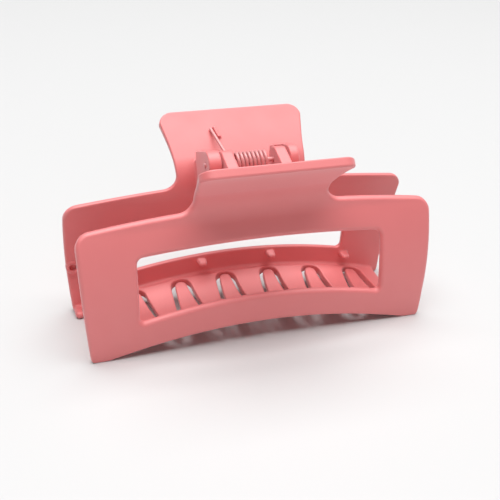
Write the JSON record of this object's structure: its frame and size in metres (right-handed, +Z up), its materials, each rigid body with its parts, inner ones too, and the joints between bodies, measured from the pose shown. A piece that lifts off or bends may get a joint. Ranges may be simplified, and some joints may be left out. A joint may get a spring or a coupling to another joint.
{
  "type": "claw clip",
  "caption": "Rectangular claw hair clip: two sprung jaws with windows, interlocking curved teeth and flared thumb grips turn on one pin.",
  "frame": {"origin": "on the surface the clip stands on, under the middle of the hinge pin's axis", "axes": "+X along the hinge and the length of the clip, -Y towards the front jaw, +Y towards the rear jaw, +Z up to the thumb grips"},
  "size_m": [0.1088, 0.0496, 0.0598],
  "materials": {
    "moulding": "soft-touch matte",
    "painted_pin": "satin",
    "painted_wire": "satin"
  },
  "bodies": {
    "rear_jaw": {"rear_jaw": "moulding", "hinge_pin": "painted_pin", "torsion_spring": "painted_wire"},
    "front_jaw": {"front_jaw": "moulding"}
  },
  "joints": [
    {"name": "jaw_hinge", "type": "hinge", "parent": "rear_jaw", "child": "front_jaw", "pos_m": [0, 0, 0.0514], "axis": [-1, 0, 0], "range_deg": [0, 55], "stiffness_Nm_per_rad": 0.15, "springref_deg": -34.38, "deforming": ["torsion_spring"]}
  ]
}
